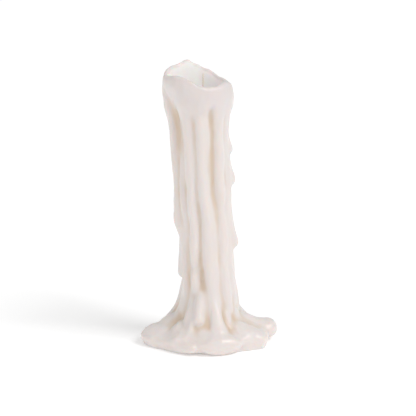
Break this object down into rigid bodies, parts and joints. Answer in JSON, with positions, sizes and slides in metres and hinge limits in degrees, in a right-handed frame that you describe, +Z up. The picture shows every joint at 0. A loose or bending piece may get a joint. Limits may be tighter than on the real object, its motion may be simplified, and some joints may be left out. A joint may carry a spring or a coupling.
{
  "type": "melted candle",
  "caption": "Tall melted pillar candle of off-white wax with a cupped top, runs of wax down the shaft, spread tongues at the foot and a cotton wick.",
  "frame": {"origin": "on the flat base, in the plane the candle stands on, where the line of the wick meets it", "axes": "+Z up along the shaft, -Y towards the side with the lowest part of the rim, +X to the right of that side; the shaft leans 3 degrees to -X"},
  "size_m": [0.1007, 0.0762, 0.2011],
  "materials": {
    "wax": "soft gloss off-white wax, slightly translucent, creamier in the hollows between its runs",
    "wick_cotton": "braided cotton stiffened with wax, off-white, unburnt"
  },
  "bodies": {
    "root": {"wax_body": "wax", "wick": "wick_cotton"}
  },
  "joints": []
}
